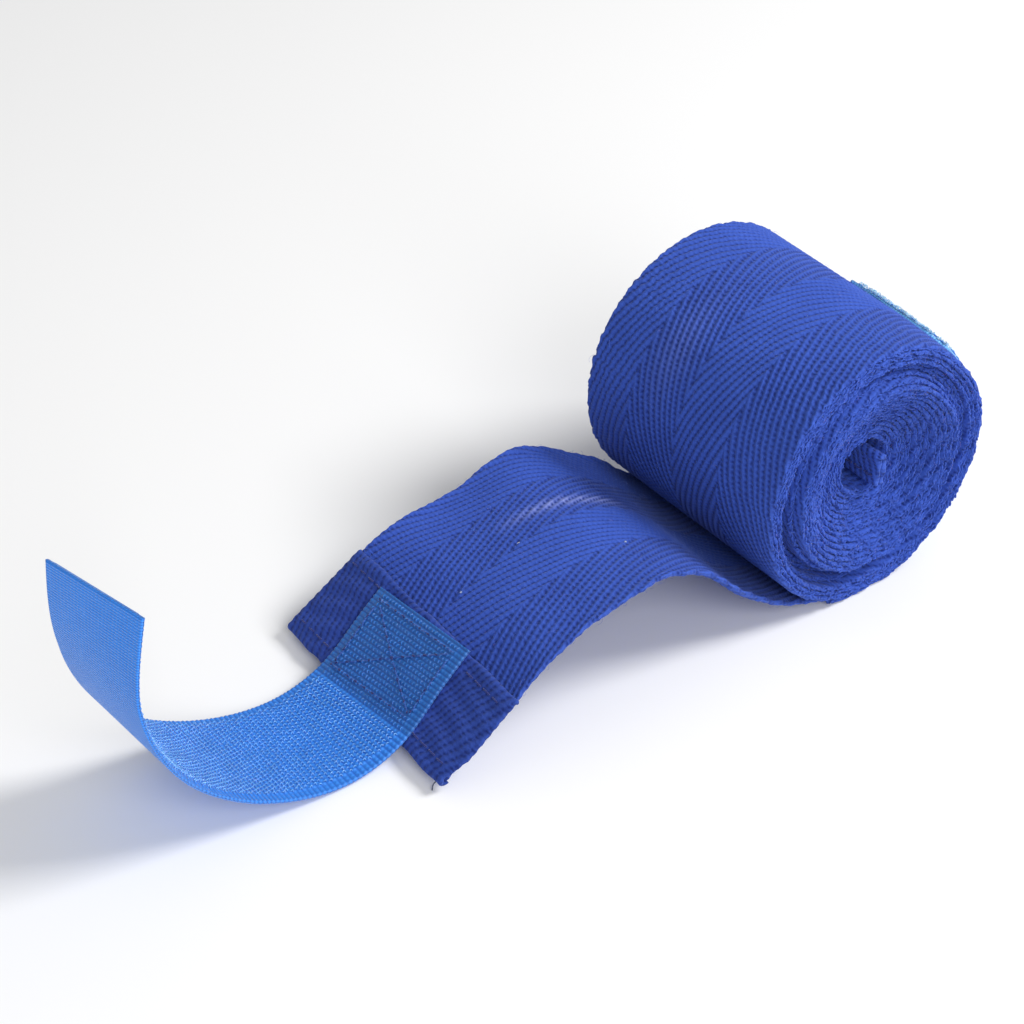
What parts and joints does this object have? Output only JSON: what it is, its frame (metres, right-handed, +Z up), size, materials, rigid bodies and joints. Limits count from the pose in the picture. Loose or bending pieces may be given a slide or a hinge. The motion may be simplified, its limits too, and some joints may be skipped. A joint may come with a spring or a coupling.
{
  "type": "hand wrap",
  "caption": "Rolled woven hand wrap for boxing, its tail leading to a sewn hem with a curling hook strap; loop patch on the roll's back.",
  "frame": {"origin": "on the surface that the roll rests on, under the middle of the roll's axis", "axes": "+Y along the roll's axis towards its flat end, -X towards the tail and the strap, +Z up"},
  "size_m": [0.1731, 0.0527, 0.0535],
  "materials": {
    "band": "woven cotton, royal blue, matte",
    "thread": "navy sewing thread",
    "strap": "woven nylon tape, bright blue, slight sheen",
    "hooks": "nylon hooks, semi-translucent",
    "loop_tape": "woven nylon tape",
    "loop_pile": "brushed nylon loops"
  },
  "bodies": {
    "roll": {"wound_turns": "band", "outer_turn": "band", "thumb_loop": "band", "thumb_loop_stitching": "thread", "loop_patch": "loop_tape", "loop_pile": "loop_pile", "loop_patch_stitching": "thread", "tail_rise": "band"},
    "tail": {"tail_band": "band", "hem_fold": "band", "hem_stitching": "thread", "strap_sewn_end": "strap", "strap_box_stitching": "thread"},
    "strap": {"strap_free_end": "strap", "hook_field": "hooks"}
  },
  "joints": [
    {"name": "tail_lift", "type": "hinge", "parent": "roll", "child": "tail", "pos_m": [-0.0494, 0, 0.0233], "axis": [0, 1, 0], "range_deg": [0, 60]},
    {"name": "strap_fold", "type": "hinge", "parent": "tail", "child": "strap", "pos_m": [-0.09542, 0.00244, 0.00346], "axis": [0.0767, 0.9971, 0], "range_deg": [0, 75]}
  ]
}
